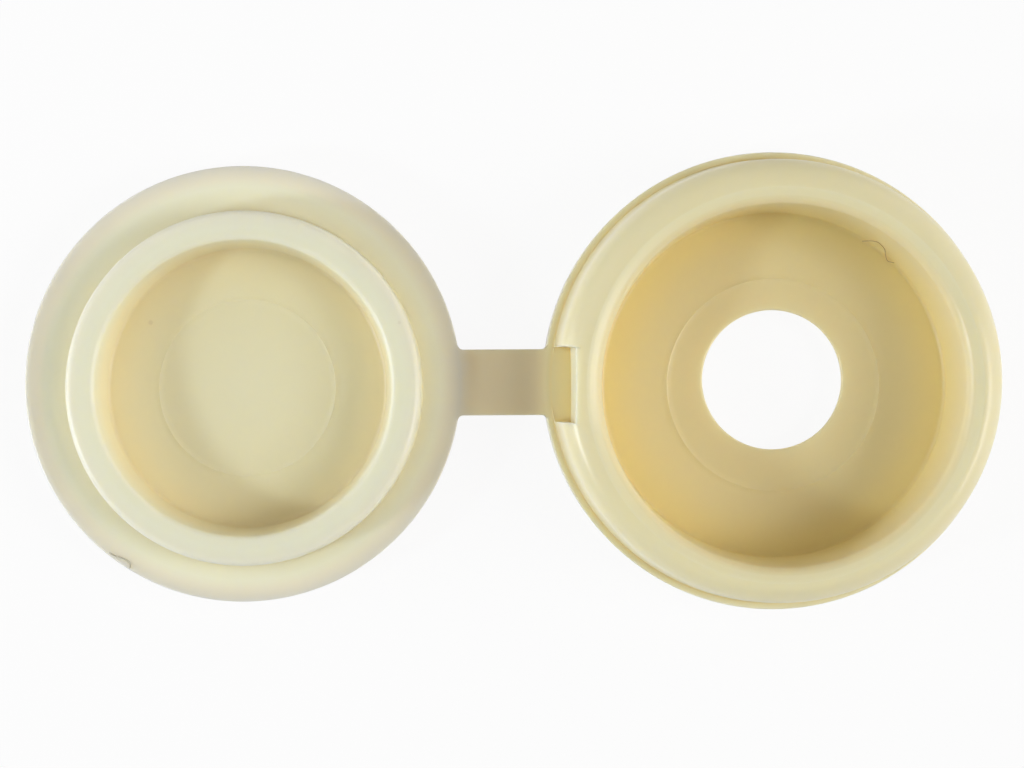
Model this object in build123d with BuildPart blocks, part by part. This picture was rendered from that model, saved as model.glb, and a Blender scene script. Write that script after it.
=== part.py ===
from build123d import *
import os
from math import radians, tan

# Screw cover cap: a base cup with a screw hole, a strap and a snap lid, in one moulding.
# It lies open, as it leaves the mould. All sizes are in millimetres.
# The origin is on the screw's axis, in the plane of the base's underside.
# The lid lies towards -X with its inside up, and +Z points up out of the cup.
# Edges on the parting plane, where the two halves of the mould meet, are sharp.

# Base cup
ledge_radius = 7.10
ledge_thickness = 1.40
ledge_width = 0.22
underside_chamfer = 0.25
rim_height = 3.80
rim_width = 1.167
wall_draft = 4.6
lip_rounding = 0.40
crest_flat = 0.03
cup_draft = 2.6
base_floor = 0.80

# Screw hole
hole_radius = 2.15
hole_land = 0.40
hole_flare = 0.30

# Lid
lid_inset = 0.11
lid_edge = 0.40
lid_floor = 0.80
plug_height = 1.20
plug_clearance = 0.03
plug_wall = 0.88
plug_rounding = 0.16
plug_chamfer = 0.10
recess_draft = 6.0

# Strap
strap_slack = 0.18
strap_width = 2.05
strap_thickness = 0.45
strap_root_rounding = 0.18
strap_bite = 0.50

# Notch that the folded strap lies in
notch_wall = 0.77
notch_clearance = 0.09
notch_draft = 2.0

# Base, worked out from its sizes
parting_height = ledge_thickness
wall_height = rim_height - parting_height
foot_radius = ledge_radius - ledge_width
wall_top_radius = foot_radius - wall_height * tan(radians(wall_draft))
mouth_radius = wall_top_radius - rim_width
cup_floor_radius = mouth_radius - (rim_height - base_floor) * tan(radians(cup_draft))
shoulder_rounding = rim_width - lip_rounding - crest_flat

# Lid and strap: the lid covers the rim, and the strap is long enough to let it reach over
lid_radius = foot_radius - lid_inset
strap_length = wall_height + strap_slack
lid_offset = ledge_radius + strap_length + lid_radius
dome_rise = ledge_thickness - lid_edge
plug_top = parting_height + plug_height
plug_root_radius = mouth_radius - plug_clearance
plug_tip_radius = plug_root_radius - plug_height * tan(radians(cup_draft))
recess_top_radius = plug_tip_radius - plug_wall
recess_floor_radius = recess_top_radius - (plug_top - lid_floor) * tan(radians(recess_draft))

# Notch: as wide as the strap needs, and as deep as the wall behind it allows
notch_width = strap_width + 2 * notch_clearance
notch_back = mouth_radius + notch_wall
notch_lean = wall_height * tan(radians(notch_draft))


def corner(section, across, up):
    """The corner of a section that lies nearest to the given place."""
    return section.vertices().sort_by_distance((across, up, 0))[0]


with BuildPart() as cap:
    # Base: ledge, wall, rim and cup floor, turned about the screw's axis
    with BuildSketch(Plane.XZ) as base_section:
        with BuildLine():
            Polyline(
                (hole_radius + hole_flare, 0),
                (ledge_radius, 0),
                (ledge_radius, parting_height),
                (foot_radius, parting_height),
                (wall_top_radius, rim_height),
                (mouth_radius, rim_height),
                (cup_floor_radius, base_floor),
                (hole_radius, base_floor),
                (hole_radius, base_floor - hole_land),
                close=True,
            )
        make_face()
        chamfer(corner(base_section, ledge_radius, 0), underside_chamfer)
        fillet(corner(base_section, wall_top_radius, rim_height), shoulder_rounding)
        fillet(corner(base_section, mouth_radius, rim_height), lip_rounding)
    revolve(axis=Axis.Z)

    # Notch: cut through the wall above the ledge, with a flat back in line with the strap
    with BuildSketch(Plane.XZ) as notch_section:
        with BuildLine():
            Polyline(
                (-2 * ledge_radius, parting_height),
                (-notch_back, parting_height),
                (-notch_back + notch_lean, rim_height),
                (-2 * ledge_radius, rim_height),
                close=True,
            )
        make_face()
    extrude(amount=notch_width / 2, both=True, mode=Mode.SUBTRACT)

    # Lid: a domed disc with a plug ring that snaps into the cup's mouth
    lid_plane = Plane(origin=(-lid_offset, 0, 0), x_dir=(1, 0, 0), z_dir=(0, -1, 0))
    with BuildSketch(lid_plane) as lid_section:
        with BuildLine():
            TangentArc((0, 0), (lid_radius, dome_rise), tangent=(1, 0))
            Polyline(
                (lid_radius, dome_rise),
                (lid_radius, parting_height),
                (plug_root_radius, parting_height),
                (plug_tip_radius, plug_top),
                (recess_top_radius, plug_top),
                (recess_floor_radius, lid_floor),
                (0, lid_floor),
                (0, 0),
            )
        make_face()
        fillet(corner(lid_section, plug_tip_radius, plug_top), plug_rounding)
        chamfer(corner(lid_section, recess_top_radius, plug_top), plug_chamfer)
    revolve(axis=Axis((-lid_offset, 0, 0), (0, 0, 1)))

    # Strap: flush with the ledge and the lid's face, and rounded into both edges
    with BuildSketch(Plane.XY.offset(parting_height)) as strap_plan:
        with Locations((-lid_offset / 2, 0)):
            Rectangle(lid_offset, strap_width)
        with Locations((-lid_offset, 0)):
            Circle(lid_radius)
        Circle(ledge_radius)
        roots = strap_plan.vertices().filter_by(lambda v: abs(abs(v.Y) - strap_width / 2) < 0.001)
        fillet(roots, strap_root_rounding)
        with Locations((-ledge_radius - strap_length / 2, 0)):
            Rectangle(
                strap_length + 2 * strap_bite,
                strap_width + 3 * strap_root_rounding,
                mode=Mode.INTERSECT,
            )
    extrude(amount=-strap_thickness)

cap.part.label = "screw_cover_cap"

os.makedirs("parts", exist_ok=True)
export_step(cap.part, "parts/screw_cover_cap.step")
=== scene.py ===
from math import asin, atan2, ceil, cos, hypot, pi, radians, sin, sqrt, tan

import bmesh
import bpy
from bpy.props import FloatProperty, FloatVectorProperty, PointerProperty
from bpy.types import Operator, Panel, PropertyGroup
from bpy.utils import register_class, unregister_class
from mathutils import Matrix, Vector


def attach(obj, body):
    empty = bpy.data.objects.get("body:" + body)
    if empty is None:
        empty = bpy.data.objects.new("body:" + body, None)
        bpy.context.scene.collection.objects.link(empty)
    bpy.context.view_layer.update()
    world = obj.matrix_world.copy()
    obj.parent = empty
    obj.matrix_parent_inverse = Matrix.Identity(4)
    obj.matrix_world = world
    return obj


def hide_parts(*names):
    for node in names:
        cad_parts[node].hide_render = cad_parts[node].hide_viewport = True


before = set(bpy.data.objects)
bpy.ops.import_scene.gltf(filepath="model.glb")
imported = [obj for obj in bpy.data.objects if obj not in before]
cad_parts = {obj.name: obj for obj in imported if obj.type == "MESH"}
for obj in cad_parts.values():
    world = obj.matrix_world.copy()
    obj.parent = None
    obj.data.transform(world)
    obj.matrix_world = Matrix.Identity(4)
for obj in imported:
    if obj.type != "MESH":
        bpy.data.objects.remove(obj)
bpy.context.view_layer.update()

bl_info = {
    "name": "Screw cover cap",
    "version": (1, 0, 0),
    "blender": (4, 5, 0),
    "location": "3D View > Sidebar > Cover Cap",
    "description": "Models a hinged screw cover cap in cream plastic, with its stage",
    "category": "Mesh",
}

MM = 0.001
TINY = 1e-6
MERGE_DISTANCE = 50 * TINY * MM
SHARP_ANGLE = radians(45)
BODY = "root"
MOULDING_NODE = "screw_cover_cap"
# Attributes that paint light and shade into the plastic's cream: the painted shade by place, and the
# strap's painted shade
PAINTED_SHADE_NAME = "painted_shade_depth"
STRAP_SHADE_NAME = "strap_painted_shade"
IMAGE_WIDTH = 1024
IMAGE_HEIGHT = 768

# Columns of the turned shapes, with finer ones in a sector on each side of the strap
BASE_STEPS = 180
FINE_CUTS = 3
SECTOR_COLUMNS = 6
STRAP_COLUMNS = 19
LONGEST_EDGE = 0.17 * MM


# Sizes, colours and stage, as the user may change them


def length(name, description, millimetres):
    """A length that the user may change, given in millimetres and kept in metres."""
    return FloatProperty(
        name=name,
        description=description,
        default=millimetres * MM,
        min=0.0,
        precision=5,
        subtype="DISTANCE",
        unit="LENGTH",
    )


def shift(name, description, millimetres):
    """A shift to either side that the user may change, given in millimetres."""
    return FloatProperty(
        name=name,
        description=description,
        default=millimetres * MM,
        precision=5,
        subtype="DISTANCE",
        unit="LENGTH",
    )


def angle(name, description, in_degrees):
    """An angle that the user may change, given in degrees and kept in radians."""
    return FloatProperty(
        name=name,
        description=description,
        default=radians(in_degrees),
        subtype="ANGLE",
        unit="ROTATION",
    )


def colour(name, description, value):
    """A scene colour that the user may change."""
    return FloatVectorProperty(
        name=name,
        description=description,
        default=value,
        size=3,
        min=0.0,
        max=1.0,
        subtype="COLOR",
    )


class CapSizes(PropertyGroup):
    """Sizes of the moulding."""

    ledge_radius: length("Ledge radius", "Outside of the ledge round the base", 7.10)
    ledge_thickness: length("Ledge thickness", "Height of the parting plane", 1.40)
    ledge_width: length("Ledge width", "How far the ledge stands out of the wall's foot", 0.22)
    underside_chamfer: length("Underside chamfer", "Chamfer round the base's underside", 0.25)
    rim_height: length("Rim height", "Height of the rim above the underside", 3.80)
    rim_width: length("Rim width", "Width of the rim between its two walls", 1.167)
    wall_draft: angle("Wall draft", "Lean of the base's outer wall", 4.6)
    lip_rounding: length("Lip rounding", "Rounding of the mouth's inner edge", 0.42)
    lip_slope: angle("Lip slope", "Slope of the lip from the crest down to the mouth", 22.0)
    lip_bend: angle("Lip bend", "Makes the lip flatter outside and steeper inside", 2.5)
    crest_inset: length("Crest inset", "Distance from the mouth to the rim's crest", 0.46)
    shoulder_rounding: length("Shoulder rounding", "Rounding of the rim's outer edge", 0.737)
    cup_draft: angle("Cup draft", "Lean of the cup's inner wall and of the plug", 2.6)
    base_floor: length("Base floor", "Thickness of the cup's floor", 0.80)
    cup_corner: length("Cup corner", "Rounding where the cup's wall meets its floor", 0.12)
    hole_radius: length("Hole radius", "Radius of the screw hole at the cup's floor", 2.17)
    hole_land: length("Hole land", "Nearly straight part of the screw hole", 0.40)
    land_flare: length("Land flare", "How far the hole widens over its land", 0.05)
    hole_flare: length("Hole flare", "How far the hole widens below its land", 0.23)
    hole_shift_x: shift("Hole shift along the strap", "Screw hole off the axis, along X", 0.06)
    hole_shift_y: shift("Hole shift across the strap", "Screw hole off the axis, along Y", 0.03)
    lid_radius: length("Lid radius", "Outside of the lid", 6.77)
    lid_edge: length("Lid edge", "Thickness of the lid at its edge", 0.40)
    lid_floor: length("Lid floor", "Height of the recess's floor", 0.80)
    lid_offset: length("Lid offset", "Distance from the screw hole to the lid's centre", 16.45)
    plug_height: length("Plug height", "Height of the plug ring above the lid's face", 1.20)
    plug_clearance: length("Plug clearance", "Gap between the plug ring and the mouth", 0.03)
    plug_wall: length("Plug wall", "Width of the plug ring's top", 0.88)
    plug_rounding: length("Plug rounding", "Rounding of the plug ring's outer edge", 0.20)
    plug_inner_rounding: length("Plug inner rounding", "Rounding of the ring's inner edge", 0.16)
    recess_draft: angle("Recess draft", "Lean of the recess's wall", 6.0)
    recess_corner: length("Recess corner", "Rounding where the recess's wall meets its floor", 0.12)
    edge_softness: length("Edge softness", "Small rounding on the parting plane's edges", 0.035)
    core_shift_x: shift("Core shift along the strap", "Cup and recess off the axis, along X", 0.09)
    core_shift_y: shift("Core shift across the strap", "Cup and recess off the axis, along Y", -0.13)
    strap_width: length("Strap width", "Width of the strap", 2.05)
    strap_thickness: length("Strap thickness", "Thickness of the strap", 0.45)
    strap_root_rounding: length("Strap root rounding", "Rounding in plan at the strap's ends", 0.18)
    notch_wall: length("Notch wall", "Wall left between the notch and the cup's mouth", 0.77)
    notch_width: length("Notch width", "Width of the notch for the folded strap", 2.31)
    notch_shift: shift("Notch shift", "Notch off the strap's middle, along Y", -0.07)
    notch_draft: angle("Notch draft", "Lean of the notch's back", 0.8)
    cup_mark_radius: length("Cup mark radius", "Ring that a pin leaves on the cup's floor", 3.32)
    lid_mark_radius: length("Lid mark radius", "Ring that a pin leaves on the recess's floor", 2.76)
    mark_height: length("Mark height", "Height of the fine lines that the mould leaves", 0.012)
    mark_width: length("Mark width", "Width of the fine lines that the mould leaves", 0.05)


class CapColours(PropertyGroup):
    """Colours of the plastic with its painted light and shade, the lint and the stage."""

    # Painted shade: the strap's darker cream stands for the shade on the thin strap, low between the
    # lid and the base
    strap: colour("Strap", "Cream in the middle of the thin strap", (0.81, 0.71, 0.48))
    # Painted light and shade: these five creams make one ramp that paints the thin, open parts paler
    # and greyer, where light passes through the plastic, and the recesses deeper
    thin: colour("Thin edge", "Cream at the lid's thin edge", (0.78, 0.755, 0.65))
    pale: colour("Pale", "Cream of the thin lid", (0.98, 0.92, 0.73))
    cream: colour("Cream", "Cream between the lid and the base", (0.98, 0.86, 0.58))
    # Painted shade: the deeper creams go on the thick base, in the cup and most of all in its
    # corners, where shade falls
    deep_shade: colour("Deep", "Cream of the base", (0.92, 0.81, 0.50))
    deepest_shade: colour("Deepest", "Cream in the corners of the cup", (0.98, 0.79, 0.38))
    speck: colour("Speck", "Colour of the fine specks on the surface", (0.35, 0.27, 0.16))
    hair: colour("Hair", "Colour of the hair in the cup", (0.46, 0.34, 0.18))
    lint: colour("Lint", "Colour of the hair on the lid", (0.46, 0.43, 0.34))
    floor: colour("Floor", "Pale floor that the cap lies on", (0.85, 0.85, 0.85))


class CapStage(PropertyGroup):
    """Camera and light."""

    camera_height: length("Camera height", "Height of the camera above the floor", 77.0)
    focal_pixels: FloatProperty(
        name="Focal length in pixels",
        description="Focal length measured in pixels of the picture",
        default=2434.0,
        min=1.0,
    )


def sizes():
    """The sizes that the scene holds."""
    return bpy.context.scene.cover_cap_sizes


def colours():
    """The colours that the scene holds."""
    return bpy.context.scene.cover_cap_colours


def stage():
    """The stage's values that the scene holds."""
    return bpy.context.scene.cover_cap_stage


# Sections that are turned into the base and the lid


def float_layer(bm, name):
    """The layer that holds one number for each vertex under the given name."""
    layers = bm.verts.layers.float
    return layers.get(name) or layers.new(name)


def add_section(bm, corners):
    """A line through corners (across, up, rounding, segments, painted shade) in the XZ plane.

    Painted shade is a number from the palest cream, 0, on thin, open parts, to the most saturated,
    1, in corners and recesses; it paints light and shade into the colour. Gives the vertices.
    """
    layer = float_layer(bm, PAINTED_SHADE_NAME)
    verts = []
    for across, up, _, _, painted_shade in corners:
        vert = bm.verts.new((across, 0.0, up))
        vert[layer] = painted_shade
        verts.append(vert)
    for start, end in zip(verts, verts[1:]):
        bm.edges.new((start, end))
    return verts


def round_corner(bm, vert, rounding, segments):
    """Rounds the corner that two straight runs make at a vertex."""
    first, second = [edge.other_vert(vert).co - vert.co for edge in vert.link_edges]
    turn = pi - first.angle(second)
    bmesh.ops.bevel(
        bm,
        geom=[vert],
        offset=rounding * tan(turn / 2),
        offset_type="OFFSET",
        segments=segments,
        profile=0.5,
        affect="VERTICES",
        material=-1,
    )


def round_corners(bm, verts, corners):
    """Rounds each corner of a section that has a rounding."""
    for vert, (_, _, rounding, segments, _) in zip(verts, corners):
        if rounding > 0:
            round_corner(bm, vert, rounding, segments)


def divide_long_edges(bm, longest):
    """Divides each edge into equal parts no longer than the given length, or hardly longer."""
    overrun = 0.01
    for edge in list(bm.edges):
        cuts = ceil(edge.calc_length() / longest - overrun) - 1
        if cuts > 0:
            bmesh.ops.subdivide_edges(bm, edges=[edge], cuts=cuts)


def turn_section(bm, steps):
    """Turns the section once round the Z axis and closes its seam and poles."""
    bmesh.ops.spin(
        bm,
        geom=bm.verts[:] + bm.edges[:],
        cent=(0, 0, 0),
        axis=(0, 0, 1),
        dvec=(0, 0, 0),
        angle=2 * pi,
        steps=steps,
        use_merge=True,
        use_duplicate=False,
    )
    bmesh.ops.remove_doubles(bm, verts=bm.verts[:], dist=MERGE_DISTANCE)
    bmesh.ops.recalc_face_normals(bm, faces=bm.faces[:])


def fine_step(steps):
    """Angle between two of the fine columns near the strap."""
    return 2 * pi / steps / (FINE_CUTS + 1)


def refine_sector(bm, steps, middle, inner_radius):
    """Adds fine columns on both sides of a direction, outside a radius."""
    angle_slack = 1e-4
    reach = SECTOR_COLUMNS * 2 * pi / steps + angle_slack
    picked = []
    for edge in bm.edges:
        places = []
        for vert in edge.verts:
            turned = Matrix.Rotation(-middle, 3, "Z") @ vert.co
            places.append((hypot(turned.x, turned.y), atan2(turned.y, turned.x)))
        (radius, start), (_, end) = places
        if radius < inner_radius or max(abs(start), abs(end)) > reach:
            continue
        if abs(start - end) > angle_slack:
            picked.append(edge)
    bmesh.ops.subdivide_edges(bm, edges=picked, cuts=FINE_CUTS, use_single_edge=True)


def clamped(share):
    """A share, kept between 0 and 1."""
    return max(0.0, min(1.0, share))


def eased(share):
    """A share from 0 to 1 that starts and ends gently."""
    return share * share * (3 - 2 * share)


def shift_core(bm, cap, inner, outer, low, hole=0.0):
    """Moves what the mould's core forms off the axis, fading out between two radii."""
    hole_fade = 0.8 * MM
    for vert in bm.verts:
        radius = hypot(vert.co.x, vert.co.y)
        if vert.co.z < low or radius > outer:
            continue
        weight = clamped((outer - radius) / (outer - inner))
        if hole:
            weight *= clamped((radius - hole) / hole_fade)
        vert.co.x += cap.core_shift_x * eased(weight)
        vert.co.y += cap.core_shift_y * eased(weight)


# Base


class BaseShape:
    """Sizes of the base that follow from the driving ones."""

    def __init__(self, cap):
        self.foot_radius = cap.ledge_radius - cap.ledge_width
        wall_height = cap.rim_height - cap.ledge_thickness
        self.wall_top_radius = self.foot_radius - wall_height * tan(cap.wall_draft)
        self.mouth_radius = self.wall_top_radius - cap.rim_width
        cup_depth = cap.rim_height - cap.base_floor
        self.cup_floor_radius = self.mouth_radius - cup_depth * tan(cap.cup_draft)
        self.shoulder_height = cap.rim_height - cap.shoulder_rounding
        lean = (self.shoulder_height - cap.ledge_thickness) * tan(cap.wall_draft)
        self.shoulder_radius = self.foot_radius - lean - cap.shoulder_rounding / cos(cap.wall_draft)
        self.crest_radius = self.mouth_radius + cap.crest_inset
        self.notch_back = self.mouth_radius + cap.notch_wall
        self.notch_half = cap.notch_width / 2


def base_section(bm, cap, shape):
    """The base's section: ledge, wall, rim, cup floor and hole."""
    strap_bottom = cap.ledge_thickness - cap.strap_thickness
    half_mark = cap.mark_width / 2
    floor = cap.base_floor
    soft = cap.edge_softness
    half_lip = (shape.crest_radius - shape.mouth_radius) / 2
    bend_height = cap.rim_height - half_lip * tan(cap.lip_slope - cap.lip_bend)
    lip_top = bend_height - half_lip * tan(cap.lip_slope + cap.lip_bend)
    land_radius = cap.hole_radius + cap.land_flare
    corner_band = 0.5 * MM
    wall_band = 1.2 * MM
    hole_band = 0.5 * MM
    # The last number of each corner is painted shade: paler on the open rim and the underside,
    # deeper in the cup and most of all in its corner
    corners = [
        (land_radius + cap.hole_flare, 0.0, 0, 0, 0.6),
        (cap.ledge_radius, 0.0, cap.underside_chamfer, 1, 0.6),
        (cap.ledge_radius, strap_bottom, 0, 0, 0.6),
        (cap.ledge_radius, cap.ledge_thickness, soft, 3, 0.6),
        (shape.foot_radius, cap.ledge_thickness, soft, 3, 0.85),
        (shape.wall_top_radius, cap.rim_height, cap.shoulder_rounding, 12, 0.60),
        (shape.crest_radius, cap.rim_height, 0, 0, 0.48),
        (shape.mouth_radius + half_lip, bend_height, 0, 0, 0.54),
        (shape.mouth_radius, lip_top, cap.lip_rounding, 8, 0.70),
        (shape.cup_floor_radius, floor, cap.cup_corner, 4, 1.0),
        (shape.cup_floor_radius - corner_band, floor, 0, 0, 0.95),
        (shape.cup_floor_radius - wall_band, floor, 0, 0, 0.84),
        (cap.cup_mark_radius + half_mark, floor, 0, 0, 0.8),
        (cap.cup_mark_radius, floor + cap.mark_height, 0, 0, 0.8),
        (cap.cup_mark_radius - half_mark, floor, 0, 0, 0.8),
        (cap.hole_radius + hole_band, floor, 0, 0, 0.8),
        (cap.hole_radius, floor, 2 * soft, 4, 0.75),
        (land_radius, floor - cap.hole_land, 0, 0, 0.7),
    ]
    verts = add_section(bm, corners)
    bm.edges.new((verts[-1], verts[0]))
    round_corners(bm, verts, corners)
    divide_long_edges(bm, LONGEST_EDGE)


def shoulder_top(cap, shape, radius):
    """Height of the rounded shoulder at a radius."""
    across = radius - shape.shoulder_radius
    return shape.shoulder_height + sqrt(max(cap.shoulder_rounding**2 - across**2, 0.0))


def cut_notch(bm, cap, shape):
    """Pushes the wall in behind the strap, to the notch's floor, sides and back.

    Columns are counted from the strap's middle. Those up to inner_column form the floor and
    the back, those up to outer_column the sides, and the rest fade out to the round wall.
    """
    step = fine_step(BASE_STEPS)
    inner_column = 13
    outer_column = STRAP_COLUMNS
    last_column = SECTOR_COLUMNS * (FINE_CUTS + 1)
    side_gap = 0.03 * MM
    edge_inset = 0.27 * MM
    floor_part = 0.2
    # Painted light and shade: the notch's floor gets a deeper cream towards its back, and its back a
    # paler one
    notch_floor_painted_shade = 0.78
    notch_floor_painted_deepening = 0.2
    notch_back_painted_light = 0.3
    top_slack = 1e-4
    mouth_margin = 0.05 * MM
    crest_margin = 0.1 * MM
    corner_distance = 0.002 * MM
    smoothing = 0.3
    layer = float_layer(bm, PAINTED_SHADE_NAME)
    low = cap.ledge_thickness
    half = shape.notch_half
    crest_radius = shape.shoulder_radius
    wanted_edge = crest_radius + edge_inset
    rows = [
        hypot(v.co.x, v.co.y)
        for v in bm.verts
        if v.co.z > shape.shoulder_height and abs(v.co.y) < TINY and v.co.x > crest_radius
    ]
    edge_radius = min(rows, key=lambda radius: abs(radius - wanted_edge))
    edge_height = shoulder_top(cap, shape, edge_radius)
    wall_shares = [
        (v.co.z - low) / (edge_height - low)
        for v in bm.verts
        if v.co.z > low and abs(v.co.y) < TINY and v.co.x > edge_radius
    ]
    floor_share = min(wall_shares, key=lambda share: abs(share - floor_part))

    def squared(column, radius):
        """Distance from the strap's middle at which the notch's sides come out straight."""
        if column <= inner_column:
            return half * column / inner_column
        if column <= outer_column:
            return half + side_gap * (column - inner_column) / (outer_column - inner_column)
        share = (column - outer_column) / (last_column - outer_column)
        outermost = radius * sin(last_column * step)
        return (half + side_gap) * (1 - share) + outermost * share

    def back_at(height):
        """Place of the notch's leaning back at a height."""
        return -shape.notch_back + (height - low) * tan(cap.notch_draft)

    def inner_path(share, across):
        """Place on the way along the notch's floor and up its back."""
        top = shoulder_top(cap, shape, hypot(back_at(cap.rim_height), across))
        if share <= floor_share:
            start = -sqrt(shape.foot_radius**2 - across**2)
            part = share / floor_share
            return Vector((start * (1 - part) + back_at(low) * part, across, low))
        height = low + (top - low) * (share - floor_share) / (1 - floor_share)
        return Vector((back_at(height), across, height))

    def pushed_in(column, radius, height, share):
        """Place that a vertex of the wall moves to, on the floor, the back or a side."""
        if column <= inner_column:
            return inner_path(share, half * column / inner_column)
        inside = inner_path(share, half)
        outside_radius = max(radius, edge_radius)
        outside_height = height
        if share >= 1.0 - top_slack:
            outside_radius = hypot(back_at(cap.rim_height), half)
            outside_height = inside.z
        outside = Vector((-sqrt(outside_radius**2 - half**2), half, outside_height))
        part = (column - inner_column) / (outer_column - inner_column)
        return inside.lerp(outside, part)

    moved = []
    softened = []
    slides = []
    for vert in bm.verts:
        x, y, z = vert.co
        radius = hypot(x, y)
        column = round(abs(atan2(y, -x) / step))
        if column > last_column or x > 0 or z < low - TINY:
            continue
        on_ledge = radius > shape.foot_radius and z < low + 2 * cap.edge_softness
        if column <= inner_column and on_ledge:
            vert.co.z = min(z, low)
        if radius > shape.foot_radius + TINY:
            continue
        if radius < shape.mouth_radius + mouth_margin or z < low + TINY:
            continue
        side = 1 if y >= 0 else -1
        if radius >= edge_radius - TINY and column <= outer_column:
            share = min((z - low) / (edge_height - low), 1.0)
            # Paints a deeper cream on the notch's floor and a paler one on its back, as light and
            # shade
            painted_deepening = notch_floor_painted_deepening * share / floor_share
            vert[layer] = notch_floor_painted_shade + painted_deepening if share <= floor_share else notch_back_painted_light
            new = pushed_in(column, radius, z, share)
            vert.co = (new.x, side * new.y, new.z)
            slides.append((vert, 1.0))
            moved.append(vert)
            if column < inner_column:
                softened.append(vert)
            continue
        across = squared(column, radius)
        weight = 1.0
        if radius < crest_radius:
            weight = clamped((radius - shape.mouth_radius) / (crest_radius - shape.mouth_radius))
            across = radius * sin(column * step) * (1 - weight) + across * weight
        fade = 1.0
        if column > outer_column:
            fade = 1.0 - (column - outer_column) / (last_column - outer_column)
        slides.append((vert, fade * weight))
        new_radius = radius
        if crest_radius <= radius < edge_radius:
            top_radius = hypot(back_at(cap.rim_height), min(across, half))
            share = (radius - crest_radius) / (edge_radius - crest_radius)
            squeezed = crest_radius + share * (top_radius - crest_radius)
            new_radius = radius + (squeezed - radius) * fade
            z = shoulder_top(cap, shape, new_radius)
        vert.co = (-sqrt(new_radius**2 - across**2), side * across, z)
        if column <= outer_column and radius > crest_radius + crest_margin:
            moved.append(vert)
    for vert, share in slides:
        vert.co.y += cap.notch_shift * share
    bmesh.ops.remove_doubles(bm, verts=moved, dist=corner_distance)
    bmesh.ops.smooth_vert(
        bm,
        verts=[vert for vert in softened if vert.is_valid],
        factor=smoothing,
        use_axis_x=True,
        use_axis_y=True,
        use_axis_z=True,
    )


def shift_hole(bm, cap):
    """Moves the screw hole off the axis, fading out over the floor round it."""
    still_radius = 3.1 * MM
    fade_width = 0.5 * MM
    for vert in bm.verts:
        radius = hypot(vert.co.x, vert.co.y)
        weight = clamped((still_radius - radius) / fade_width)
        vert.co.x += cap.hole_shift_x * eased(weight)
        vert.co.y += cap.hole_shift_y * eased(weight)


def make_base(cap):
    """The base cup with its notch, as a bmesh."""
    core_end = 5.9 * MM
    still_radius = 6.6 * MM
    lowest_core = 0.5 * MM
    hole_edge = 2.2 * MM
    shape = BaseShape(cap)
    bm = bmesh.new()
    base_section(bm, cap, shape)
    turn_section(bm, BASE_STEPS)
    refine_sector(bm, BASE_STEPS, pi, 0.0)
    cut_notch(bm, cap, shape)
    shift_core(bm, cap, core_end, still_radius, lowest_core, hole=hole_edge)
    shift_hole(bm, cap)
    return bm


# Lid


def lid_steps(cap):
    """Steps round the lid that put as many columns across the strap as on the base."""
    root = cap.strap_width / 2 + cap.strap_root_rounding
    reach = cap.lid_radius + cap.strap_root_rounding
    half_angle = asin(root / reach)
    return round(2 * pi / (half_angle / STRAP_COLUMNS * (FINE_CUTS + 1)))


def lid_section(bm, cap, shape):
    """The lid's section: dome, edge, face, plug ring and recess."""
    low = cap.ledge_thickness
    dome_rise = low - cap.lid_edge
    dome_radius = (cap.lid_radius**2 + dome_rise**2) / (2 * dome_rise)
    dome_steps = 40
    # Painted shade of the crown, below the lid
    crown_painted_shade = 0.4
    layer = float_layer(bm, PAINTED_SHADE_NAME)
    crown = bm.verts.new((0, 0, 0))
    crown[layer] = crown_painted_shade
    bmesh.ops.spin(
        bm,
        geom=[crown],
        cent=(0, 0, dome_radius),
        axis=(0, 1, 0),
        angle=-asin(cap.lid_radius / dome_radius),
        steps=dome_steps,
        use_merge=False,
    )
    dome_end = max(bm.verts, key=lambda vert: vert.co.x)
    plug_top = low + cap.plug_height
    plug_root = shape.mouth_radius - cap.plug_clearance
    plug_tip = plug_root - cap.plug_height * tan(cap.cup_draft)
    recess_top = plug_tip - cap.plug_wall
    recess_foot = recess_top - (plug_top - cap.lid_floor) * tan(cap.recess_draft)
    half_mark = cap.mark_width / 2
    soft = cap.edge_softness
    floor = cap.lid_floor
    face_band = 0.8 * MM
    corner_band = 0.8 * MM
    # The last number of each corner is painted light and shade: palest at the lid's thin edge, pale
    # on the plug's top, deeper at the plug's root and in the recess's corner
    corners = [
        (cap.lid_radius, low, soft, 3, 0.0),
        (plug_root + face_band, low, 0, 0, 0.20),
        (plug_root, low, soft, 3, 0.42),
        (plug_tip, plug_top, cap.plug_rounding, 6, 0.20),
        (recess_top, plug_top, cap.plug_inner_rounding, 5, 0.29),
        (recess_foot, floor, cap.recess_corner, 4, 0.66),
        (recess_foot - corner_band, floor, 0, 0, 0.52),
        (cap.lid_mark_radius + half_mark, floor, 0, 0, 0.47),
        (cap.lid_mark_radius, floor + cap.mark_height, 0, 0, 0.47),
        (cap.lid_mark_radius - half_mark, floor, 0, 0, 0.47),
        (0.0, floor, 0, 0, 0.42),
    ]
    verts = add_section(bm, corners)
    bm.edges.new((dome_end, verts[0]))
    round_corner(bm, dome_end, soft, 3)
    round_corners(bm, verts, corners)
    divide_long_edges(bm, LONGEST_EDGE)


def make_lid(cap):
    """The lid with its plug ring, round the Z axis, as a bmesh."""
    core_end = 5.55 * MM
    still_radius = 5.95 * MM
    lowest_core = 0.75 * MM
    fine_band = 0.8 * MM
    shape = BaseShape(cap)
    steps = lid_steps(cap)
    bm = bmesh.new()
    lid_section(bm, cap, shape)
    turn_section(bm, steps)
    refine_sector(bm, steps, 0.0, cap.lid_radius - fine_band)
    shift_core(bm, cap, core_end, still_radius, lowest_core)
    return bm


# Strap


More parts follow.
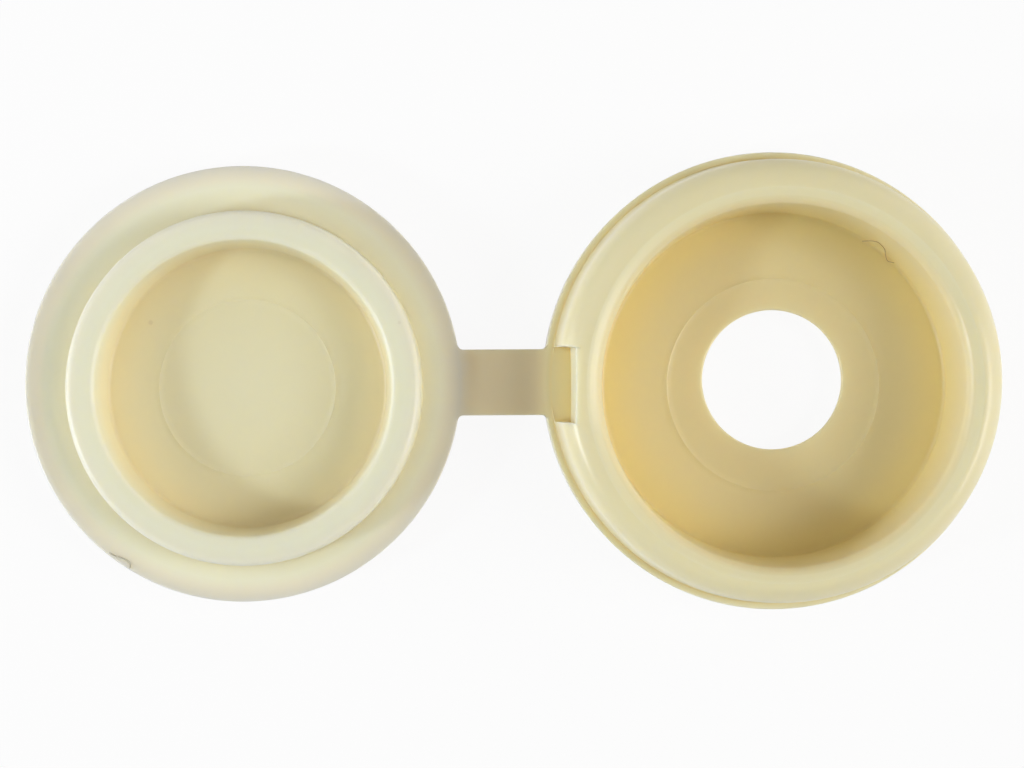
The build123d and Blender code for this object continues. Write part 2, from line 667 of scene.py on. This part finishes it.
def open_side(bm, middle, step, floor, inner_radius):
    """Takes out the outermost faces, where the strap grows from the turned shape."""
    reach = STRAP_COLUMNS * step
    gone = []
    for face in bm.faces:
        place = face.calc_center_median()
        turned = Matrix.Rotation(-middle, 3, "Z") @ place
        radius = hypot(turned.x, turned.y)
        if place.z < floor or radius < inner_radius:
            continue
        if abs(atan2(turned.y, turned.x)) < reach:
            gone.append(face)
    bmesh.ops.delete(bm, geom=gone, context="FACES")


def root_stations(start, middle, outwards, half, rounding):
    """Stations round one end of the strap, from the edge it grows from to its straight part.

    A station is where the flanks are, where the strap's middle is, and half the width there.
    """
    steps = 5
    first_turn = radians(10)
    stations = []
    for number in range(1, steps + 1):
        turn = first_turn + (pi / 2 - first_turn) * number / steps
        flank = middle + outwards * rounding * cos(turn)
        centre = start + (middle - start) * number / steps
        stations.append((flank, centre, half + rounding * (1 - sin(turn))))
    return stations


def strap_stations(cap):
    """The strap's stations, from the base to the lid."""
    straight_steps = 12
    half = cap.strap_width / 2
    rounding = cap.strap_root_rounding
    root = half + rounding
    base_start = cap.ledge_radius
    lid_start = cap.lid_offset - cap.lid_radius
    base_middle = sqrt((base_start + rounding) ** 2 - root**2)
    lid_middle = cap.lid_offset - sqrt((cap.lid_radius + rounding) ** 2 - root**2)
    stations = root_stations(base_start, base_middle, -1, half, rounding)
    for number in range(1, straight_steps):
        place = base_middle + (lid_middle - base_middle) * number / straight_steps
        stations.append((place, place, half))
    stations.extend(reversed(root_stations(lid_start, lid_middle, 1, half, rounding)))
    return stations


def grow_strap(bm, cap, base_edges, lid_edges):
    """Draws the strap out of the base, one station after another, and joins it to the lid."""
    base_painted_shade = 0.6
    end_power = 6
    flank_share = 0.9
    base_start = cap.ledge_radius
    lid_start = cap.lid_offset - cap.lid_radius
    painted_shades = float_layer(bm, PAINTED_SHADE_NAME)
    strap_shade_shares = float_layer(bm, STRAP_SHADE_NAME)
    loop = base_edges
    widest = max(abs(vert.co.y) for edge in loop for vert in edge.verts)
    marks = {}
    for vert in {vert for edge in loop for vert in edge.verts}:
        inset = cap.ledge_radius - hypot(vert.co.x, vert.co.y)
        flank = abs(vert.co.y) > flank_share * widest
        marks[vert] = (vert.co.y, inset if flank else 0.0, vert.co.z)
    for edge_place, middle_place, wide in strap_stations(cap):
        along = (middle_place - base_start) / (lid_start - base_start)
        grown = bmesh.ops.extrude_edge_only(bm, edges=loop)["geom"]
        new_verts = [item for item in grown if isinstance(item, bmesh.types.BMVert)]
        new_edges = [item for item in grown if isinstance(item, bmesh.types.BMEdge)]
        old_verts = list(marks)
        next_marks = {}
        for vert in new_verts:
            old = min(old_verts, key=lambda other: (other.co - vert.co).length_squared)
            across, inset, height = marks[old]
            share = abs(across) / widest
            place = middle_place + (edge_place - middle_place) * share**2
            new_across = across / widest * wide
            if share > flank_share and inset > 0:
                sign = 1 if across > 0 else -1
                new_across = sign * (wide - inset)
            vert.co = (-place, new_across, height)
            # Painted shade: the strap's cream fades from the base's painted shade to the lid's, with
            # the strap's darker painted shade mixed in along its middle
            vert[painted_shades] = base_painted_shade * (1 - along)
            vert[strap_shade_shares] = 1 - abs(2 * along - 1) ** end_power
            next_marks[vert] = (across, inset, height)
        marks = next_marks
        loop = [edge for edge in new_edges if all(vert in marks for vert in edge.verts)]
    bmesh.ops.bridge_loops(bm, edges=loop + lid_edges)


# Pieces


def join(parts):
    """One bmesh that holds all the parts."""
    whole = bmesh.new()
    for part in parts:
        mesh = bpy.data.meshes.new("part")
        part.to_mesh(mesh)
        part.free()
        whole.from_mesh(mesh)
        bpy.data.meshes.remove(mesh)
    return whole


def finish_piece(bm, name, material):
    """Makes a piece of the finished bmesh, on the moulding's body."""
    mesh = bpy.data.meshes.new(name)
    bm.to_mesh(mesh)
    bm.free()
    mesh.materials.append(material)
    mesh.shade_smooth()
    mesh.set_sharp_from_angle(angle=SHARP_ANGLE)
    piece = bpy.data.objects.new(name, mesh)
    bpy.context.scene.collection.objects.link(piece)
    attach(piece, BODY)
    return piece


# Stray hairs on the plastic: points in mm, along the hair
CUP_HAIR = (
    (2.91, 4.35, 0.83),
    (3.07, 4.35, 1.01),
    (3.14, 4.32, 1.46),
    (3.22, 4.28, 1.71),
    (3.31, 4.21, 1.73),
    (3.42, 4.13, 1.63),
    (3.51, 4.04, 1.46),
    (3.60, 3.94, 0.98),
    (3.65, 3.82, 0.84),
    (3.69, 3.73, 0.83),
    (3.75, 3.70, 0.83),
    (3.89, 3.66, 0.91),
)
LID_HAIR = (
    (-20.63, -5.23, 1.41),
    (-20.46, -5.32, 1.41),
    (-20.31, -5.36, 1.41),
    (-20.15, -5.42, 1.41),
    (-20.04, -5.48, 1.41),
    (-19.97, -5.57, 1.41),
    (-19.98, -5.68, 1.41),
    (-20.01, -5.71, 1.41),
)


def make_hair(name, points, radius, material):
    """A stray hair on a smooth line through its points."""
    curve = bpy.data.curves.new(name, "CURVE")
    curve.dimensions = "3D"
    curve.bevel_depth = radius
    curve.bevel_resolution = 1
    curve.use_fill_caps = True
    spline = curve.splines.new("NURBS")
    spline.points.add(len(points) - 1)
    for point, spot in zip(spline.points, points):
        point.co = (*[part * MM for part in spot], 1)
    spline.order_u = 3
    spline.use_endpoint_u = True
    spline.resolution_u = 6
    holder = bpy.data.objects.new(name, curve)
    mesh = bpy.data.meshes.new_from_object(holder)
    bpy.data.objects.remove(holder)
    bpy.data.curves.remove(curve)
    bm = bmesh.new()
    bm.from_mesh(mesh)
    bpy.data.meshes.remove(mesh)
    bmesh.ops.remove_doubles(bm, verts=bm.verts[:], dist=MERGE_DISTANCE)
    bmesh.ops.recalc_face_normals(bm, faces=bm.faces[:])
    finish_piece(bm, name, material)


# Materials


def new_material(name):
    """An empty node material with its output. Gives the material, its nodes and its links."""
    material = bpy.data.materials.new(name)
    material.use_nodes = True
    tree = material.node_tree
    tree.nodes.clear()
    return material, tree.nodes, tree.links


# Specks of dirt: centre in mm, radius in mm, and how far they hide the cream
SPECKS = (
    ((-19.38, 1.93, 0.8), 0.10, 0.16),
    ((-11.55, 1.85, 2.6), 0.07, 0.10),
)


def add_speck(nodes, links, place, cream, centre, radius, share, tint):
    """Mixes a soft round speck into a colour. Gives the new colour's socket."""
    even_part = 0.4
    distance = nodes.new("ShaderNodeVectorMath")
    distance.operation = "DISTANCE"
    distance.inputs[1].default_value = [part * MM for part in centre]
    fade = nodes.new("ShaderNodeMapRange")
    fade.interpolation_type = "SMOOTHSTEP"
    fade.inputs["From Min"].default_value = even_part * radius * MM
    fade.inputs["From Max"].default_value = radius * MM
    fade.inputs["To Min"].default_value = share
    fade.inputs["To Max"].default_value = 0.0
    mix = nodes.new("ShaderNodeMix")
    mix.data_type = "RGBA"
    mix.inputs["B"].default_value = (*tint, 1)
    links.new(place.outputs["Object"], distance.inputs[0])
    links.new(distance.outputs["Value"], fade.inputs["Value"])
    links.new(fade.outputs["Result"], mix.inputs["Factor"])
    links.new(cream, mix.inputs["A"])
    return mix.outputs["Result"]


def cream_with_painted_shade(nodes, links, place, palette):
    """The cream with painted light and shade from its ramp, a little cloudy, with the strap's
    painted shade and the specks.

    Gives the colour's socket.
    """
    cloud_scale = 260.0
    cloudiness = 0.012
    cloud = nodes.new("ShaderNodeTexNoise")
    cloud.inputs["Scale"].default_value = cloud_scale
    cloud.inputs["Detail"].default_value = 1.0
    cloudy = nodes.new("ShaderNodeMapRange")
    cloudy.inputs["To Min"].default_value = -cloudiness
    cloudy.inputs["To Max"].default_value = cloudiness
    painted_shade = nodes.new("ShaderNodeAttribute")
    painted_shade.attribute_name = PAINTED_SHADE_NAME
    total = nodes.new("ShaderNodeMath")
    total.operation = "ADD"
    # Painted light and shade: a ramp from the palest cream on thin, open parts to the most saturated
    # in the corners
    shade_ramp = nodes.new("ShaderNodeValToRGB")
    shades = (palette.thin, palette.pale, palette.cream, palette.deep_shade, palette.deepest_shade)
    stops = shade_ramp.color_ramp.elements
    last = len(shades) - 1
    for number in range(1, last):
        stops.new(number / last)
    for stop, shade in zip(stops, shades):
        stop.color = (*shade, 1)
    # Painted shade: the strap's darker cream, mixed in along its middle
    strap_shade_amount = nodes.new("ShaderNodeAttribute")
    strap_shade_amount.attribute_name = STRAP_SHADE_NAME
    with_strap_shade = nodes.new("ShaderNodeMix")
    with_strap_shade.data_type = "RGBA"
    with_strap_shade.inputs["B"].default_value = (*palette.strap, 1)
    links.new(place.outputs["Object"], cloud.inputs["Vector"])
    links.new(cloud.outputs["Fac"], cloudy.inputs["Value"])
    links.new(cloudy.outputs["Result"], total.inputs[0])
    links.new(painted_shade.outputs["Fac"], total.inputs[1])
    links.new(total.outputs[0], shade_ramp.inputs["Fac"])
    links.new(strap_shade_amount.outputs["Fac"], with_strap_shade.inputs["Factor"])
    links.new(shade_ramp.outputs["Color"], with_strap_shade.inputs["A"])
    cream = with_strap_shade.outputs["Result"]
    for centre, radius, share in SPECKS:
        cream = add_speck(nodes, links, place, cream, centre, radius, share, palette.speck)
    return cream


def plastic_material(palette):
    """Cream translucent plastic: light goes in a little way and comes out warmer. Its cream carries
    painted light and shade.
    """
    grain_scale = 2500.0
    smoothest = 0.27
    roughest = 0.34
    grain_share = 0.25
    grain_height = 0.0006 * MM
    refraction = 1.49
    material, nodes, links = new_material("cream_translucent_plastic")
    output = nodes.new("ShaderNodeOutputMaterial")
    shader = nodes.new("ShaderNodeBsdfPrincipled")
    place = nodes.new("ShaderNodeTexCoord")
    grain = nodes.new("ShaderNodeTexNoise")
    grain.inputs["Scale"].default_value = grain_scale
    grain.inputs["Detail"].default_value = 4.0
    gloss = nodes.new("ShaderNodeMapRange")
    gloss.inputs["To Min"].default_value = smoothest
    gloss.inputs["To Max"].default_value = roughest
    bump = nodes.new("ShaderNodeBump")
    bump.inputs["Strength"].default_value = grain_share
    bump.inputs["Distance"].default_value = grain_height
    shader.subsurface_method = "RANDOM_WALK"
    shader.inputs["Subsurface Weight"].default_value = 1.0
    shader.inputs["Subsurface Radius"].default_value = (0.32, 0.31, 0.26)
    shader.inputs["Subsurface Scale"].default_value = 1.0 * MM
    shader.inputs["IOR"].default_value = refraction
    links.new(place.outputs["Object"], grain.inputs["Vector"])
    links.new(grain.outputs["Fac"], gloss.inputs["Value"])
    links.new(grain.outputs["Fac"], bump.inputs["Height"])
    links.new(cream_with_painted_shade(nodes, links, place, palette), shader.inputs["Base Color"])
    links.new(gloss.outputs["Result"], shader.inputs["Roughness"])
    links.new(bump.outputs["Normal"], shader.inputs["Normal"])
    links.new(shader.outputs["BSDF"], output.inputs["Surface"])
    return material


def hair_material(name, shade):
    """A fine hair, a little lighter and darker along its length."""
    tone_scale = 3000.0
    lighter = 1.5
    material, nodes, links = new_material(name)
    output = nodes.new("ShaderNodeOutputMaterial")
    shader = nodes.new("ShaderNodeBsdfPrincipled")
    shader.inputs["Roughness"].default_value = 0.5
    place = nodes.new("ShaderNodeTexCoord")
    noise = nodes.new("ShaderNodeTexNoise")
    noise.inputs["Scale"].default_value = tone_scale
    tint = nodes.new("ShaderNodeMix")
    tint.data_type = "RGBA"
    tint.inputs["A"].default_value = (*shade, 1)
    tint.inputs["B"].default_value = (*[min(1.0, part * lighter) for part in shade], 1)
    links.new(place.outputs["Object"], noise.inputs["Vector"])
    links.new(noise.outputs["Fac"], tint.inputs["Factor"])
    links.new(tint.outputs["Result"], shader.inputs["Base Color"])
    links.new(shader.outputs["BSDF"], output.inputs["Surface"])
    return material


def floor_material(palette):
    """A pale floor that the camera sees as white, with a trace of the cap's shadow."""
    white_share = 0.92
    material, nodes, links = new_material("pale_floor")
    output = nodes.new("ShaderNodeOutputMaterial")
    diffuse = nodes.new("ShaderNodeBsdfDiffuse")
    diffuse.inputs["Color"].default_value = (*palette.floor, 1)
    white = nodes.new("ShaderNodeEmission")
    white.inputs["Color"].default_value = (1, 1, 1, 1)
    white.inputs["Strength"].default_value = 1.0
    path = nodes.new("ShaderNodeLightPath")
    seen = path.outputs["Is Camera Ray"]
    for ray in ("Is Glossy Ray", "Is Transmission Ray"):
        either = nodes.new("ShaderNodeMath")
        either.operation = "MAXIMUM"
        links.new(seen, either.inputs[0])
        links.new(path.outputs[ray], either.inputs[1])
        seen = either.outputs[0]
    share = nodes.new("ShaderNodeMath")
    share.operation = "MULTIPLY"
    share.inputs[1].default_value = white_share
    mix = nodes.new("ShaderNodeMixShader")
    links.new(seen, share.inputs[0])
    links.new(share.outputs[0], mix.inputs["Fac"])
    links.new(diffuse.outputs["BSDF"], mix.inputs[1])
    links.new(white.outputs["Emission"], mix.inputs[2])
    links.new(mix.outputs["Shader"], output.inputs["Surface"])
    return material


# Stage


def make_floor():
    """A plain pale floor, a trace below the cap."""
    half_side = 0.5
    gap = 0.01 * MM
    bm = bmesh.new()
    bmesh.ops.create_grid(bm, x_segments=1, y_segments=1, size=half_side)
    bmesh.ops.translate(bm, vec=(0, 0, -gap), verts=bm.verts[:])
    mesh = bpy.data.meshes.new("floor")
    bm.to_mesh(mesh)
    bm.free()
    mesh.materials.append(floor_material(colours()))
    floor = bpy.data.objects.new("floor", mesh)
    bpy.context.scene.collection.objects.link(floor)


# Lamps: name, azimuth and elevation in degrees, distance and side in metres, watts and colour
LAMPS = (
    ("key_lamp", 198, 31, 0.25, 0.03, 0.18, (0.76, 0.87, 1.0)),
    ("left_lamp", 180, 14, 0.15, 0.09, 0.10, (1.0, 0.98, 1.0)),
    ("back_left_lamp", 150, 60, 0.15, 0.09, 0.02, (1.0, 0.99, 0.97)),
    ("low_right_lamp", -5, 15, 0.5, 0.3, 0.46, (0.95, 0.97, 1.0)),
    ("right_lamp", -9, 41, 0.5, 0.24, 1.05, (1.0, 0.975, 0.96)),
    ("front_lamp", -45, 40, 0.5, 0.3, 0.08, (1.0, 0.98, 0.94)),
    ("back_lamp", 45, 20, 0.5, 0.3, 0.35, (1.0, 0.97, 0.93)),
)


def add_lamp(name, azimuth, elevation, distance, side, power, tint):
    """A square lamp that faces the middle of the cap."""
    lamp = bpy.data.lights.new(name, "AREA")
    lamp.shape = "SQUARE"
    lamp.size = side
    lamp.energy = power
    lamp.color = tint
    holder = bpy.data.objects.new(name, lamp)
    bpy.context.scene.collection.objects.link(holder)
    middle = Vector((-8.2 * MM, 0, 2 * MM))
    turn = radians(azimuth)
    tilt = radians(elevation)
    towards = Vector((cos(tilt) * cos(turn), cos(tilt) * sin(turn), sin(tilt)))
    holder.location = middle + towards * distance
    holder.rotation_euler = towards.to_track_quat("Z", "Y").to_euler()


def make_lights():
    """A small key lamp from the lid's side, two near lamps on the left, and four far ones."""
    for lamp in LAMPS:
        add_lamp(*lamp)


def make_world():
    """An even soft light from all round, white where the camera sees it."""
    room_tint = (1.0, 0.96, 0.92)
    room_light = 0.15
    world = bpy.data.worlds.new("soft_room")
    bpy.context.scene.world = world
    world.use_nodes = True
    nodes = world.node_tree.nodes
    links = world.node_tree.links
    nodes.clear()
    output = nodes.new("ShaderNodeOutputWorld")
    light = nodes.new("ShaderNodeBackground")
    light.inputs["Color"].default_value = (*room_tint, 1)
    light.inputs["Strength"].default_value = room_light
    white = nodes.new("ShaderNodeBackground")
    white.inputs["Strength"].default_value = 1.0
    seen = nodes.new("ShaderNodeLightPath")
    mix = nodes.new("ShaderNodeMixShader")
    links.new(seen.outputs["Is Camera Ray"], mix.inputs["Fac"])
    links.new(light.outputs["Background"], mix.inputs[1])
    links.new(white.outputs["Background"], mix.inputs[2])
    links.new(mix.outputs["Shader"], output.inputs["Surface"])


def make_camera():
    """The photograph's camera: above the strap, looking straight down."""
    foot_x = -9.86 * MM
    foot_y = 0.27 * MM
    foot_column = 455
    foot_row = 373.9
    roll = radians(-0.33)
    setup = stage()
    camera = bpy.data.cameras.new("camera")
    camera.sensor_fit = "HORIZONTAL"
    camera.lens = setup.focal_pixels / IMAGE_WIDTH * camera.sensor_width
    camera.shift_x = (IMAGE_WIDTH / 2 - foot_column) / IMAGE_WIDTH
    camera.shift_y = (foot_row - IMAGE_HEIGHT / 2) / IMAGE_WIDTH
    camera.clip_start = 1 * MM
    camera.clip_end = 10.0
    holder = bpy.data.objects.new("camera", camera)
    bpy.context.scene.collection.objects.link(holder)
    holder.location = (foot_x, foot_y, setup.camera_height)
    holder.rotation_euler = (0, 0, roll)
    bpy.context.scene.camera = holder


# Operators and their panel


class COVERCAP_OT_moulding(Operator):
    """Model the base cup, the strap and the lid as one closed moulding."""

    bl_idname = "cover_cap.moulding"
    bl_label = "Moulded Cap"

    def execute(self, context):
        cap = sizes()
        base = make_base(cap)
        lid = make_lid(cap)
        low = cap.ledge_thickness - cap.strap_thickness
        open_side(base, pi, fine_step(BASE_STEPS), low, cap.ledge_radius - cap.edge_softness)
        open_side(lid, 0.0, fine_step(lid_steps(cap)), low, cap.lid_radius - cap.edge_softness)
        bmesh.ops.translate(lid, vec=(-cap.lid_offset, 0, 0), verts=lid.verts[:])
        whole = join([base, lid])
        middle = -(cap.ledge_radius + cap.lid_offset - cap.lid_radius) / 2
        rims = [edge for edge in whole.edges if edge.is_boundary]
        base_edges = [edge for edge in rims if edge.verts[0].co.x > middle]
        lid_edges = [edge for edge in rims if edge.verts[0].co.x <= middle]
        grow_strap(whole, cap, base_edges, lid_edges)
        bmesh.ops.recalc_face_normals(whole, faces=whole.faces[:])
        if any(edge.is_boundary for edge in whole.edges):
            raise RuntimeError("The moulding isn't closed.")
        piece = finish_piece(whole, "moulded_cap", plastic_material(colours()))
        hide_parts(MOULDING_NODE)
        return {"FINISHED"}


class COVERCAP_OT_hairs(Operator):
    """Lay the two stray hairs that cling to the plastic."""

    bl_idname = "cover_cap.hairs"
    bl_label = "Stray Hairs"

    def execute(self, context):
        palette = colours()
        cup_hair_radius = 0.011 * MM
        lid_hair_radius = 0.02 * MM
        make_hair("cup_hair", CUP_HAIR, cup_hair_radius, hair_material("brown_hair", palette.hair))
        make_hair("lid_hair", LID_HAIR, lid_hair_radius, hair_material("grey_hair", palette.lint))
        return {"FINISHED"}


class COVERCAP_OT_stage(Operator):
    """Set up the floor, the lights, the world and the camera."""

    bl_idname = "cover_cap.stage"
    bl_label = "Stage"

    def execute(self, context):
        make_floor()
        make_lights()
        make_world()
        make_camera()
        context.scene.view_settings.view_transform = "Standard"
        return {"FINISHED"}


class COVERCAP_PT_panel(Panel):
    """Sizes, colours and steps of the cover cap."""

    bl_idname = "COVERCAP_PT_panel"
    bl_label = "Screw Cover Cap"
    bl_space_type = "VIEW_3D"
    bl_region_type = "UI"
    bl_category = "Cover Cap"

    def draw(self, context):
        layout = self.layout
        for operator in OPERATORS:
            layout.operator(operator.bl_idname)
        for group in (sizes(), colours(), stage()):
            box = layout.box()
            for name in group.bl_rna.properties.keys():
                if name not in ("rna_type", "name"):
                    box.prop(group, name)


OPERATORS = (COVERCAP_OT_moulding, COVERCAP_OT_hairs, COVERCAP_OT_stage)
CLASSES = (CapSizes, CapColours, CapStage, *OPERATORS, COVERCAP_PT_panel)


def register():
    """Adds the classes and their properties to Blender."""
    for cls in CLASSES:
        register_class(cls)
    bpy.types.Scene.cover_cap_sizes = PointerProperty(type=CapSizes)
    bpy.types.Scene.cover_cap_colours = PointerProperty(type=CapColours)
    bpy.types.Scene.cover_cap_stage = PointerProperty(type=CapStage)


def unregister():
    """Takes the properties and the classes out again."""
    del bpy.types.Scene.cover_cap_stage
    del bpy.types.Scene.cover_cap_colours
    del bpy.types.Scene.cover_cap_sizes
    for cls in reversed(CLASSES):
        unregister_class(cls)


def main():
    """Makes every piece and the stage."""
    register()
    bpy.ops.cover_cap.moulding()
    bpy.ops.cover_cap.hairs()
    bpy.ops.cover_cap.stage()


if __name__ == "__main__":
    main()
